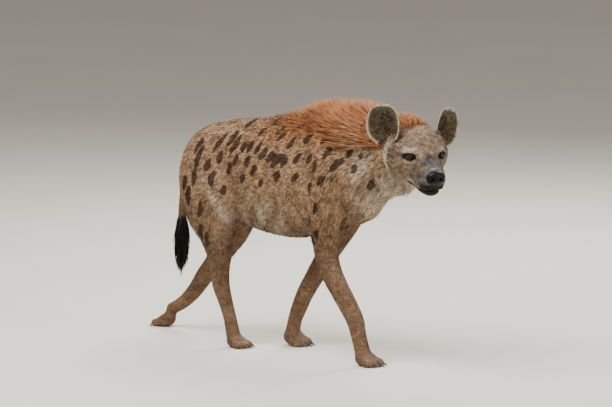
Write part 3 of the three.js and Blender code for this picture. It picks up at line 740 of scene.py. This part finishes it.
class Coat:
    """What the skin and the tufts that grow from it share, at each vertex of the skin."""

    def __init__(self, mesh):
        self.co = places(mesh)
        self.p = in_head(self.co)
        self.pairs = edge_pairs(mesh)
        normals = np.empty(len(self.co) * 3)
        mesh.vertices.foreach_get("normal", normals)
        self.out = normals.reshape(-1, 3)
        self.find_parts()
        self.lie = self.hair_way()
        self.marks = self.markings()

    def find_parts(self):
        """Each place's share in the head, legs, ears and tail, and how low it is on the trunk."""
        x, y, z = self.co.T
        self.head = head_share(self.p)
        self.leg, self.down, self.leg_way = leg_lie(self.co)
        self.ear, self.tall, self.over, self.cup = ear_place(self.p, self.out @ np.array(HEAD_TURN))
        top = np.interp(x, TRUNK_TOP[:, 0], TRUNK_TOP[:, 2])
        low = np.interp(x, TRUNK_LOW[:, 0], TRUNK_LOW[:, 2])
        self.sink = np.clip((top - z) / (top - low), 0, 1.4)
        tail_x = np.interp(z, TAIL.rows[::-1, 2], TAIL.rows[::-1, 0])
        in_tail = (x < TAIL_ROOT) & (np.hypot(x - tail_x, y) < TAIL_REACH) & (z < TAIL_TOP) & (z > TAIL_END)
        self.tail = in_tail.astype(float)

    def trunk_way(self):
        """Back and down over the trunk, steeper on the belly, the shoulder and the rump."""
        x = self.co[:, 0]
        slope = 10 + 44 * step(0.02, 0.85, self.sink)
        slope = mix(slope, 84, step(-0.28, -0.44, x) * step(0.02, 0.5, self.sink))
        slope = mix(slope, 66, hump(x - 0.24, 0.10) * step(0.15, 0.6, self.sink))
        slope = mix(slope, 12 + 40 * step(0.1, 1.0, self.sink), step(0.34, 0.46, x))
        slope = np.radians(slope + 9 * ripple(self.co, 0.10, 21))
        return np.stack([-np.cos(slope), 0.06 * ripple(self.co, 0.08, 22), -np.sin(slope)], axis=1)

    def head_way(self):
        """Back from the nose, up the forehead and down the jaw, and to the tip on an ear."""
        _, v, w = self.p.T
        way = np.stack([
            -np.ones(len(v)),
            0.25 * np.sign(v) * step(10, 60, np.abs(v)),
            0.45 * step(-10, 50, w) - 0.55 * (1 - step(-70, -5, w)),
        ], axis=1)
        to_tip = np.where(v[:, None] > 0, EAR_LEAN[1], EAR_LEAN[-1])
        return mix(way, to_tip, self.ear[:, None]) @ np.array(HEAD_TURN).T

    def hair_way(self):
        """The way that the hair lies, along the skin."""
        lie = mix(self.trunk_way(), self.leg_way, self.leg[:, None])
        lie = mix(lie, np.array([-0.05, 0, -1.0]), self.tail[:, None])
        lie = mix(lie, self.head_way(), np.maximum(self.head, self.ear)[:, None])
        lie = lie - self.out * np.sum(lie * self.out, axis=1)[:, None]
        return unit(relaxed(unit(lie), self.pairs, 6, 0.5))

    def markings(self):
        """How much of each colour a place has, from 0 to 1."""
        u, v, w = self.p.T
        crown = 0.8 * hump(v, 30) * (1 - step(-84, -8, u)) * step(30, 55, w) * self.head
        muzzle = step(20, 70, u) * self.head
        from_nose = np.linalg.norm((self.p - np.array(NOSE_AT)) / (NOSE_SIZE + NOSE_MARGIN), axis=1)
        nose = ((from_nose < 1) & (u > NOSE_BACK)).astype(float)
        # Painted highlight: the thin pale edge round each ear stands for light from behind catching its
        # rim.
        rim = self.ear * np.maximum(step(0.88, 0.96, np.abs(self.over)), step(0.95, 0.985, self.tall))
        shares = {
            "mane": self.mane_mark() * (1 - self.head) * (1 - self.ear) + crown,
            "grey": self.head * (1 - self.ear) * (1 - crown),
            "olive": self.ear * mix(0.55, 1.0, self.cup) * (1 - rim),
            "pale": np.maximum(self.pale_mark(), rim),
            "dark": np.maximum(self.dark_mark(), 0.75 * muzzle),
            "spot": spot_share(self.co) * (1 - self.head) * (1 - self.tail),
            "black": np.maximum(self.black_mark(), nose),
            "slate": self.slate_mark(muzzle),
            "nose": nose,
        }
        return {name: np.clip(share, 0, 1) for name, share in shares.items()}

    def mane_mark(self):
        """A band along the back that widens forwards, and the sides of the neck."""
        x = self.co[:, 0]
        back = (1 - step(0.05, 0.30, self.sink)) * step(-0.16, 0.10, x) * (1 - self.head)
        neck = 0.8 * step(0.30, 0.42, x) * (1 - step(0.10, 0.33, self.sink))
        return np.maximum(back, neck)

    def pale_mark(self):
        """The fold before the thigh, streaks on the flank, the throat, the ruff and the brows."""
        x, _, z = self.co.T
        u, v, w = self.p.T
        fold = hump(x + 0.258 - (0.514 - z) * 0.77, 0.014) * step(0.35, 0.39, z) * (1 - step(0.48, 0.56, z))
        streaks = 0.35 + 0.65 * ripple(self.co, 0.025, 31)
        flank = hump(x + 0.02, 0.13) * step(0.55, 0.8, self.sink) * streaks * (1 - self.leg)
        throat = step(0.30, 0.42, x) * step(0.5, 0.9, self.sink) * step(0.42, 0.52, z) * (1 - self.leg)
        neck = hump(x - 0.40, 0.05) * hump(self.sink - 0.42, 0.18)
        ruff = hump(u + 66, 12) * step(44, 60, np.abs(v)) * hump(w + 34, 42)
        brow = hump(u - 4, 20) * hump(np.abs(v) - 48, 18) * hump(w - 18, 8.5) * self.head
        over_nose = hump(v + 3, 14) * hump(u - 105, 6) * (w > -32) * self.head
        return np.maximum.reduce([
            0.8 * fold, 0.85 * flank, 0.6 * throat, 0.6 * neck, 1.7 * ruff, 0.75 * brow, over_nose,
        ])

    def dark_mark(self):
        """The underside, the lower flank and the thigh, darker partly in their own tone and partly as
        painted shade under the body, then freckles, and the legs with their blotches.
        """
        x, _, z = self.co.T
        behind_chest = 1 - step(0.25, 0.35, x)
        # Painted shade with own tone: the belly, the lower flank and the thigh are darker partly in their
        # own colour and partly for the shade that falls under the body.
        belly = step(0.75, 1.0, self.sink) * behind_chest * (1 - self.leg)
        low = step(0.45, 0.9, self.sink) * (1 - step(0.08, 0.20, x)) * (1 - self.head)
        thigh = hump(x + 0.28, 0.14) * (1 - step(0.46, 0.66, z))
        freckle = step(0.45, 0.8, ripple(self.co, 0.017, 43)) * (1 - self.head) * step(-0.5, -0.3, x)
        blotch = step(0.1, 0.8, ripple(self.co * (1, 1, 0.6), 0.020, 41)) * self.leg
        return np.maximum.reduce([
            0.95 * belly, 0.45 * low, 0.4 * thigh, 0.5 * freckle, 0.75 * blotch, 0.78 * self.leg,
        ])

    def black_mark(self):
        """The lips and chin, the skin round the eyes, painted shadow deep in the cup of each ear, and the
        end of the tail.
        """
        u, _, w = self.p.T
        gap = w - mouth_height(u)
        lips = np.maximum(0.9 * hump(gap, 5), 0.81 * hump(gap + 9, 12)) * step(-4, 10, u) * self.head
        chin = step(-2, 6, -gap) * step(20, 50, u) * self.head
        upper_lip = step(64, 104, u) * (1 - step(-72, -50, w)) * self.head
        # Painted shadow: black laid deep in each ear's cup, where shade falls inside it.
        painted_ear_shadow = self.ear * self.cup * hump(self.over + 0.2, 0.45) * hump(self.tall - 0.5, 0.3)
        tail_end = self.tail * (1 - step(0.36, 0.41, self.co[:, 2]))
        return np.maximum.reduce([
            lips, 0.8 * chin, 0.8 * upper_lip, eye_dark(self.p) * self.head, 1.5 * painted_ear_shadow, tail_end,
        ])

    def slate_mark(self, muzzle):
        """The bridge of the nose, and a little on the sides of the muzzle."""
        u, v, w = self.p.T
        bridge = hump(v, 22) * step(40, 66, u) * (1 - step(97, 106, u)) * (w > -34) * self.head
        return 0.9 * bridge + 0.6 * muzzle * hump(w + 56, 32)


coat = Coat(skin.data)


def lay_marks(mesh, marks):
    """Stores each mark on the mesh under its own name."""
    for name, values in marks.items():
        layer = mesh.attributes.new(name, "FLOAT", "POINT")
        layer.data.foreach_set("value", np.ascontiguousarray(values, dtype=np.float32))


plain = np.full(len(coat.co), 0.5)
lay_marks(skin.data, {**coat.marks, "tuft": plain, "along": plain})


# Tufts

draw = np.random.default_rng(5)

# Size of one blade's patch on the unwrapped skin
PATCH = 0.003


class Roots:
    """Places on the skin, drawn at random, with all that the coat says about them."""

    def __init__(self, density):
        mesh = skin.data
        mesh.calc_loop_triangles()
        count = len(mesh.loop_triangles)
        corners = np.empty(count * 3, int)
        loops = np.empty(count * 3, int)
        mesh.loop_triangles.foreach_get("vertices", corners)
        mesh.loop_triangles.foreach_get("loops", loops)
        corners, loops = corners.reshape(-1, 3), loops.reshape(-1, 3)
        a, b, c = (coat.co[corners[:, i]] for i in range(3))
        weight = np.linalg.norm(np.cross(b - a, c - a), axis=1) / 2 * density[corners].mean(1)
        total = int(weight.sum())
        picked = np.sort(draw.choice(count, total, p=weight / weight.sum()))
        r, s = np.sqrt(draw.random(total)), draw.random(total)
        self.share = np.stack([1 - r, r * (1 - s), r * s], axis=1)
        self.corners = corners[picked]
        uv = np.empty(len(mesh.loops) * 2)
        mesh.uv_layers["unwrap"].data.foreach_get("uv", uv)
        self.uv = np.einsum("nk,nkd->nd", self.share, uv.reshape(-1, 2)[loops[picked]])
        self.at = self.of(coat.co)
        self.out = unit(self.of(coat.out))
        self.lie = unit(self.of(coat.lie))
        self.marks = {name: self.of(values) for name, values in coat.marks.items()}

    def shift_spots(self, reach):
        """Takes the spots' edges where the tufts are seen rather than where they are rooted."""
        seen = self.at + self.lie * (0.55 * reach)[:, None]
        self.marks["spot"] = spot_share(seen) * (1 - self.of(coat.head))

    def of(self, values):
        """Values on the skin's vertices, taken at the roots."""
        spec = "nk,nkd->nd" if values.ndim == 2 else "nk,nk->n"
        return np.einsum(spec, self.share, values[self.corners])


def blade_points(roots, chosen, aim, length, width, curl, levels, sink):
    """Each blade's points: rings of three that bend from its aim towards the hair's lie, then its tip."""
    out, lie = roots.out[chosen], roots.lie[chosen]
    side = unit(np.cross(aim, out))
    up = np.cross(side, aim)
    base = roots.at[chosen] - out * sink
    bend = unit(lie - 0.12 * out) - aim
    points = []
    for t, fat in levels:
        spine = base + (aim * t + bend * (curl * t * t)) * length[:, None]
        wide = (width * fat)[:, None]
        points += [spine - side * wide / 2, spine + side * wide / 2, spine + up * wide * 0.45]
    points.append(base + (aim + bend * curl) * length[:, None])
    return np.stack(points, axis=1)


def blade_faces(rings):
    """One blade's faces: its root, three sides from ring to ring, and three that meet in its tip."""
    sides = ((0, 1), (1, 2), (2, 0))
    last = 3 * (rings - 1)
    faces = [(0, 1, 2)]
    for start in range(0, last, 3):
        faces += [(start + i, start + 3 + i, start + 3 + j, start + j) for i, j in sides]
    return faces + [(last + i, last + 3, last + j) for i, j in sides]


def repeated_mesh(name, points, faces):
    """One mesh with the same faces on each row of points, and the index of each face corner's point."""
    count, each, _ = points.shape
    pattern = np.concatenate([np.array(face) for face in faces])
    sizes = np.array([len(face) for face in faces])
    starts = np.concatenate([[0], np.cumsum(sizes)[:-1]])
    index = (np.arange(count)[:, None] * each + pattern).ravel()
    mesh = bpy.data.meshes.new(name)
    mesh.vertices.add(count * each)
    mesh.vertices.foreach_set("co", points.ravel())
    mesh.loops.add(len(index))
    mesh.loops.foreach_set("vertex_index", index)
    mesh.polygons.add(count * len(sizes))
    mesh.polygons.foreach_set("loop_start", (np.arange(count)[:, None] * len(pattern) + starts).ravel())
    mesh.polygons.foreach_set("use_smooth", np.ones(count * len(sizes), bool))
    mesh.update(calc_edges=True)
    return mesh, index


def tuft_mesh(name, roots, chosen, aim, length, width, curl, levels, sink=0.0015):
    """Thin closed blades of three sides, with the coat's marks and a patch of the skin's unwrap each."""
    points = blade_points(roots, chosen, aim, length, width, curl, levels, sink)
    count, each, _ = points.shape
    mesh, index = repeated_mesh(name, points, blade_faces(len(levels)))
    along = [t for t, _ in levels for _ in range(3)] + [1.0]
    marks = {key: np.repeat(values[chosen], each) for key, values in roots.marks.items()}
    marks["tuft"] = np.repeat(draw.random(count), each)
    marks["along"] = np.tile(along, count)
    lay_marks(mesh, marks)
    spread = np.stack([[0.0, 1.0, 0.5] * len(levels) + [0.5], along], axis=1) * PATCH
    at = roots.uv[chosen][:, None, :] + spread[None] - PATCH / 2
    layer = mesh.uv_layers.new(name="OFBake")
    layer.data.foreach_set("uv", at.reshape(-1, 2)[index].ravel())
    return linked(name, mesh)


# Rings of a blade: share of its length, and of its width there
SHORT = ((0.0, 0.8), (0.45, 1.0))
LONG = ((0.0, 0.8), (0.3, 1.0), (0.65, 0.75))
LONG_SINK = 0.003

# Blades to a piece, and hair that may be left round the soles
MOST_TUFTS = 18000
SOLE_HAIR = 0.002

# Blades to a square metre
BODY_DENSITY = 75000.0
HEAD_DENSITY = 170000.0
MANE_DENSITY = 95000.0
TAIL_DENSITY = 75000.0


# Length of the short hair on each part, from the first length to the second down a leg and over the face
TRUNK_HAIR = 0.017
LEG_HAIR = (0.015, 0.008)
TAIL_HAIR = 0.0105
FACE_HAIR = (0.018, 0.0085)
MUZZLE_HAIR = 0.0045
RUFF_HAIR = 0.02
EAR_HAIR = 0.0065

# How much longer the trunk's hair grows
LONGER_AT_SHOULDER = 0.006
LONGER_AT_NECK = 0.006
LONGER_AT_BELLY = 0.008


def lengths():
    """Length of the hair at each vertex of the skin."""
    x = coat.co[:, 0]
    u, v, _ = coat.p.T
    length = TRUNK_HAIR + LONGER_AT_SHOULDER * step(0.1, 0.3, x) + LONGER_AT_NECK * step(0.30, 0.45, x)
    length = length + LONGER_AT_BELLY * step(0.75, 1.0, coat.sink) * (1 - coat.leg)
    length = mix(length, mix(*LEG_HAIR, step(0.45, 0.8, coat.down)), coat.leg)
    length = mix(length, TAIL_HAIR, coat.tail)
    face = mix(*FACE_HAIR, step(-70, 20, u))
    face = mix(face, MUZZLE_HAIR, step(20, 60, u))
    face = mix(face, RUFF_HAIR, hump(u + 92, 26) * step(50, 90, np.abs(v)))
    length = mix(length, face, coat.head)
    return mix(length, EAR_HAIR, coat.ear)


def cover():
    """The short coat over the whole animal."""
    length = lengths()
    bare = np.maximum(coat.marks["nose"], (eye_dark(coat.p) > 0.75) * coat.head)
    density = 1.3 / (length * (0.0009 + 0.06 * length)) * (1 - bare) * (coat.co[:, 2] > 0.004)
    roots = Roots(np.minimum(density, mix(BODY_DENSITY, HEAD_DENSITY, coat.head)))
    hair = roots.of(length) * draw.uniform(0.72, 1.25, len(roots.at))
    roots.shift_spots(hair)
    order = np.argsort(roots.at[:, 0])
    for number in range(math.ceil(len(order) / MOST_TUFTS)):
        chosen = order[number * MOST_TUFTS:(number + 1) * MOST_TUFTS]
        over_floor = roots.at[chosen, 2] - SOLE_HAIR
        some = np.minimum(hair[chosen], np.maximum(over_floor, SOLE_HAIR))
        rise = draw.uniform(0.16, 0.42, len(chosen))[:, None]
        lie = roots.lie[chosen] + 0.12 * draw.normal(size=(len(chosen), 3))
        aim = unit(lie * (1 - rise) + roots.out[chosen] * rise)
        width = 0.0008 + 0.07 * some
        yield tuft_mesh(f"coat_{number + 1}", roots, chosen, aim, some, width, 0.6, SHORT)


# Length of the mane's hair: the place along the back, and the length there
MANE_START = -0.12
MANE_END = 0.64
MANE_ROWS = np.array([
    (MANE_START, 0.010), (0.0, 0.016), (0.1, 0.034), (0.2, 0.056), (0.3, 0.086),
    (0.4, 0.090), (0.47, 0.084), (0.52, 0.064), (0.57, 0.040), (MANE_END, 0.014),
])


def from_middle(x, y):
    """Distance to the side from the trunk's middle line."""
    return np.abs(y - np.interp(x, TRUNK_LINE[:, 0], TRUNK_LINE[:, 1]))


def mane():
    """The long hair from the forehead to the middle of the back."""
    x, y, _ = coat.co.T
    band = (1 - step(0.022, 0.085, from_middle(x, y))) * (coat.sink < 0.25) * (coat.out[:, 2] > 0.3)
    ends = step(MANE_START, 0.04, x) * (1 - step(0.60, MANE_END, x))
    roots = Roots(MANE_DENSITY * band * ends)
    at_x, at_y, _ = roots.at.T
    count = len(at_x)
    crest = 1 - step(0.01, 0.085, from_middle(at_x, at_y))
    rise = step(-0.05, 0.2, at_x)
    hair = np.interp(at_x, *MANE_ROWS.T) * mix(0.85, 1.2, crest)
    hair = hair * draw.uniform(0.55, 1.15, count) + 0.012
    upright = np.clip(0.26 + 0.5 * crest * rise + draw.uniform(-0.08, 0.08, count), 0, 1)[:, None]
    level = unit(roots.lie * (1, 1, 0.2) + 0.22 * draw.normal(size=(count, 3)))
    above = mix(roots.out, np.array([0, 0, 1.0]), 0.5 * crest[:, None])
    aim = unit(level * (1 - upright) + above * upright)
    roots.marks["mane"] = np.maximum(roots.marks["mane"], 0.85 * rise)
    roots.marks["grey"] *= 0.1
    roots.marks["spot"] *= 1 - rise
    half = count // 2
    for number, chosen in enumerate((np.arange(half), np.arange(half, count))):
        width = 0.0014 + 0.018 * hair[chosen]
        yield tuft_mesh(
            f"mane_{number + 1}", roots, chosen, aim[chosen], hair[chosen], width, 0.22, LONG, LONG_SINK,
        )


def tail_tuft():
    """The black tuft at the tail's end."""
    roots = Roots(TAIL_DENSITY * coat.tail * (1 - step(0.37, 0.41, coat.co[:, 2])))
    count = len(roots.at)
    hair = 0.055 + 0.065 * draw.random(count)
    hair = np.minimum(hair, roots.at[:, 2] - TAIL_END + 0.012 * draw.normal(size=count))
    down = np.tile([-0.02, 0.0, -1.0], (count, 1))
    aim = unit(down + 0.34 * roots.out + 0.07 * draw.normal(size=(count, 3)))
    roots.marks["black"] = np.maximum(roots.marks["black"], 0.92)
    width = 0.0014 + 0.03 * hair
    yield tuft_mesh("tail_tuft", roots, np.arange(count), aim, hair, width, 0.5, LONG, LONG_SINK)


# Eyes

def build_eye(side):
    """An eyeball with its pole in the pupil, where the clear front bulges a little."""
    gaze = unit(np.array(GAZE))
    bm = bmesh.new()
    bmesh.ops.create_uvsphere(bm, u_segments=40, v_segments=28, radius=EYE_RADIUS)
    turn = Vector((0, 0, 1)).rotation_difference(Vector(gaze)).to_matrix()
    bmesh.ops.rotate(bm, matrix=turn, verts=bm.verts)
    facing = []
    for vert in bm.verts:
        ahead = float(np.dot(np.array(vert.co) / EYE_RADIUS, gaze))
        facing.append(ahead)
        vert.co = vert.co * (1 + 0.05 * float(step(0.72, 0.95, ahead)))
        vert.co = HEAD_POSE @ (vert.co + Vector(eye_centre(side)))
    eye = from_bmesh("eyeball_L" if side > 0 else "eyeball_R", bm)
    lay_marks(eye.data, {"facing": np.array(facing)})
    eye.data.polygons.foreach_set("use_smooth", np.ones(len(eye.data.polygons), bool))
    return eye


# Finishes

def colour(code):
    """A colour from its usual six figures, for the light that Blender works in."""
    parts = [int(code[i:i + 2], 16) / 255 for i in (0, 2, 4)]
    return (*[part / 12.92 if part <= 0.04045 else ((part + 0.055) / 1.055) ** 2.4 for part in parts], 1)


class Flow:
    """An output socket. Sums on it add Math nodes."""

    def __init__(self, finish, socket):
        self.finish = finish
        self.socket = socket

    def maths(self, operation, a, b):
        return self.finish.node("ShaderNodeMath", {"operation": operation}, {0: a, 1: b})

    def __add__(self, other):
        return self.maths("ADD", self, other)

    def __sub__(self, other):
        return self.maths("SUBTRACT", self, other)

    def __rsub__(self, other):
        return self.maths("SUBTRACT", other, self)

    def __mul__(self, other):
        return self.maths("MULTIPLY", self, other)

    __radd__ = __add__
    __rmul__ = __mul__

    def clipped(self, low, high):
        """0 below low, 1 above high, and smooth between."""
        values = {"Value": self, "From Min": low, "From Max": high}
        return self.finish.node("ShaderNodeMapRange", {"interpolation_type": "SMOOTHSTEP"}, values)


class Finish:
    """A material and its nodes."""

    def __init__(self, name, shine):
        self.material = bpy.data.materials.new(name)
        self.material.use_nodes = True
        self.tree = self.material.node_tree
        self.shader = self.tree.nodes["Principled BSDF"]
        for socket, value in shine.items():
            self.shader.inputs[socket].default_value = value

    def node(self, kind, settings=None, values=None, out=0):
        """Adds a node with its settings and the values or links of its sockets."""
        made = self.tree.nodes.new(kind)
        for key, value in (settings or {}).items():
            setattr(made, key, value)
        for key, value in (values or {}).items():
            if isinstance(value, Flow):
                self.tree.links.new(value.socket, made.inputs[key])
            else:
                made.inputs[key].default_value = value
        return Flow(self, made.outputs[out])

    def mark(self, name):
        """One of the marks that the mesh carries."""
        return self.node("ShaderNodeAttribute", {"attribute_name": name}, out="Fac")

    def noise(self, scale, detail=3.0, stretch=(1, 1, 1)):
        at = self.node("ShaderNodeTexCoord", out="Object")
        at = self.node("ShaderNodeMapping", values={"Vector": at, "Scale": stretch})
        return self.node("ShaderNodeTexNoise", values={"Vector": at, "Scale": scale, "Detail": detail})

    def blend(self, a, b, share):
        """Colour a where the share is 0, and colour b where it is 1."""
        return self.node("ShaderNodeMix", {"data_type": "RGBA"}, {0: share, 6: a, 7: b}, out=2)

    def feed(self, socket, flow):
        self.tree.links.new(flow.socket, self.shader.inputs[socket])

    def bump(self, height, strength, depth):
        values = {"Height": height, "Strength": strength, "Distance": depth}
        self.feed("Normal", self.node("ShaderNodeBump", values=values))


# The coat's colours, each for hair in shade and hair in light
TAN_LOW, TAN, TAN_HIGH = colour("594330"), colour("8d6e51"), colour("ccb090")
RUST, RUST_HIGH = colour("7f421f"), colour("bd7c4a")
GREY, GREY_HIGH = colour("40342a"), colour("8e7a64")
OLIVE, OLIVE_HIGH = colour("2e2a1f"), colour("6a6350")
PALE, PALE_HIGH = colour("b5a68d"), colour("ece2d0")
BROWN, UMBER = colour("34231a"), colour("1e130d")
BLACK, BLACK_HIGH = colour("090706"), colour("1c1612")
NOSE_BLACK = colour("0c0d10")
SLATE, SLATE_HIGH = colour("23252a"), colour("54575b")


def coat_finish(name, bare):
    """Fur, or the bare skin under it, coloured by the coat's marks."""
    fur = Finish(name, {"Specular IOR Level": 0.14})
    tuft, along = fur.mark("tuft"), fur.mark("along")
    broad = fur.noise(12)
    clumps = fur.noise(62, stretch=(0.7, 1, 1.3))
    fine = fur.noise(150, stretch=(0.7, 1.4, 1.4))
    clumps = (clumps - 0.5) * (0.75 + fur.mark("grey") * 0.75) + 0.75
    light = (broad * 0.6 + clumps + fine * 0.7 + tuft * 0.5 + along * 0.25 - 1.34).clipped(0.0, 1.0)
    tan = fur.blend(fur.blend(TAN_LOW, TAN, light.clipped(0, 0.5)), TAN_HIGH, light.clipped(0.5, 1.0))
    tint = fur.blend(tan, fur.blend(RUST, RUST_HIGH, light), fur.mark("mane") * 0.9)
    tint = fur.blend(tint, fur.blend(GREY, GREY_HIGH, light), fur.mark("grey") * 0.85)
    tint = fur.blend(tint, fur.blend(OLIVE, OLIVE_HIGH, light), fur.mark("olive"))
    tint = fur.blend(tint, fur.blend(PALE, PALE_HIGH, light), fur.mark("pale") * (0.55 + tuft * 0.45))
    tint = fur.blend(tint, fur.blend(BROWN, TAN_LOW, light), fur.mark("dark") * 0.85)
    spot = (fur.mark("spot") + fine * 0.3 - 0.15).clipped(0.28, 0.62)
    tint = fur.blend(tint, fur.blend(UMBER, BROWN, light), spot * 0.88)
    tint = fur.blend(tint, fur.blend(SLATE, SLATE_HIGH, light), fur.mark("slate"))
    tint = fur.blend(tint, fur.blend(BLACK, BLACK_HIGH, light), fur.mark("black").clipped(0.15, 0.75))
    nose = fur.mark("nose")
    fur.feed("Base Color", fur.blend(tint, NOSE_BLACK, nose))
    fur.feed("Roughness", 0.62 - nose * 0.3 + fine * 0.08)
    if bare:
        pebbles = fur.noise(520, 2)
        hairs = fur.noise(420, stretch=(0.35, 1, 1))
        fur.bump(hairs * (1 - nose) + pebbles * nose * 0.8, 0.55, 0.0016)
    return fur.material


def eye_finish():
    shine = {"Roughness": 0.3, "Specular IOR Level": 0.2, "Coat Weight": 0.22, "Coat Roughness": 0.02}
    eye = Finish("dark brown eye", shine)
    facing, streaks = eye.mark("facing"), eye.noise(900)
    light = (facing + streaks * 0.16 - 0.08).clipped(0.72, 0.90)
    iris = eye.blend(colour("0f0603"), colour("32190c"), light)
    pupil = eye.blend(iris, colour("020202"), facing.clipped(0.915, 0.935))
    eye.feed("Base Color", eye.blend(colour("1a100c"), pupil, facing.clipped(0.66, 0.72)))
    return eye.material


def claw_finish():
    claw = Finish("dull dark horn", {})
    lines = claw.noise(260, stretch=(1, 1, 0.3))
    claw.feed("Base Color", claw.blend(colour("1d1814"), colour("4a4036"), lines.clipped(0.3, 0.8)))
    claw.feed("Roughness", 0.38 + lines * 0.2)
    claw.bump(lines, 0.3, 0.0004)
    return claw.material


def floor_finish():
    floor = Finish("pale floor", {"Roughness": 0.9})
    grain = floor.noise(3)
    floor.feed("Base Color", floor.blend(colour("d8d2c6"), colour("ded9ce"), grain))
    return floor.material


# Dressing the frame

def settle(piece, slot, finish, *nodes):
    """Brings a piece into the row frame, gives it its finish, and hands it to the frame."""
    piece.data.transform(Matrix.Translation(OFFSET))
    piece.data.materials.clear()
    piece.data.materials.append(finish)
    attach(piece, "root")
    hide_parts(*nodes)


claw_nodes = [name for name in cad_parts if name.startswith("claw_")]
flesh = [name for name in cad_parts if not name.startswith(("claw_", "eye_"))]
fur_finish = coat_finish("fur", False)
tufts = [*cover(), *mane(), *tail_tuft()]
skin.data.polygons.foreach_set("use_smooth", np.ones(len(skin.data.polygons), bool))
settle(skin, "coat", coat_finish("hide", True), *flesh)
for piece in tufts:
    kind = "mane" if piece.name.startswith("mane") else "tail" if piece.name.startswith("tail") else "coat"
    settle(piece, kind, fur_finish)
wet = eye_finish()
for side in SIDES:
    eye = build_eye(side)
    settle(eye, "eye", wet, "eye_L" if side > 0 else "eye_R")
horn = claw_finish()
for name in claw_nodes:
    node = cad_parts[name]
    node.data.materials.clear()
    node.data.materials.append(horn)

# Stage, light and camera

FLOOR_HALF = 30
VIEW_TURN = math.radians(46)
VIEW_RISE = math.radians(7.4)
VIEW_FAR = 40
PIXELS_A_METRE = 309
PICTURE_WIDE = 612
SENSOR = 36
TARGET_RIGHT = 0.0434
TARGET_UP = 0.4741

# Lights: place from the target to the right, up and towards the camera, then watts and size
LIGHTS = {
    "key": ((-1.6, 3.6, 2.2), 390, 3.0),
    "fill": ((3.2, 1.0, 2.4), 90, 3.0),
    "rim": ((1.0, 3.0, -2.6), 200, 2.4),
}
SKY_STRENGTH = 0.42

ground = bmesh.new()
bmesh.ops.create_grid(ground, x_segments=2, y_segments=2, size=FLOOR_HALF)
floor = from_bmesh("floor", ground)
floor.data.materials.append(floor_finish())

right = Vector((math.cos(VIEW_TURN), math.sin(VIEW_TURN), 0))
level = Vector((math.sin(VIEW_TURN), -math.cos(VIEW_TURN), 0))
back = level * math.cos(VIEW_RISE) + Vector((0, 0, math.sin(VIEW_RISE)))
up = back.cross(right)
target = OFFSET + right * TARGET_RIGHT + up * TARGET_UP


def look(obj, place, at):
    obj.location = place
    obj.rotation_euler = (at - place).to_track_quat("-Z", "Y").to_euler()


for name, ((aside, above, ahead), watts, size) in LIGHTS.items():
    data = bpy.data.lights.new(name, "AREA")
    data.energy = watts
    data.size = size
    look(linked(name, data), target + right * aside + up * above + back * ahead, target)

lens = bpy.data.cameras.new("camera")
lens.sensor_width = SENSOR
lens.lens = SENSOR * VIEW_FAR * PIXELS_A_METRE / PICTURE_WIDE
lens.clip_end = 200
camera = linked("camera", lens)
look(camera, target + back * VIEW_FAR, target)
bpy.context.scene.camera = camera

world = bpy.data.worlds.new("studio")
world.use_nodes = True
world.node_tree.nodes["Background"].inputs["Color"].default_value = colour("e6e2da")
world.node_tree.nodes["Background"].inputs["Strength"].default_value = SKY_STRENGTH
bpy.context.scene.world = world
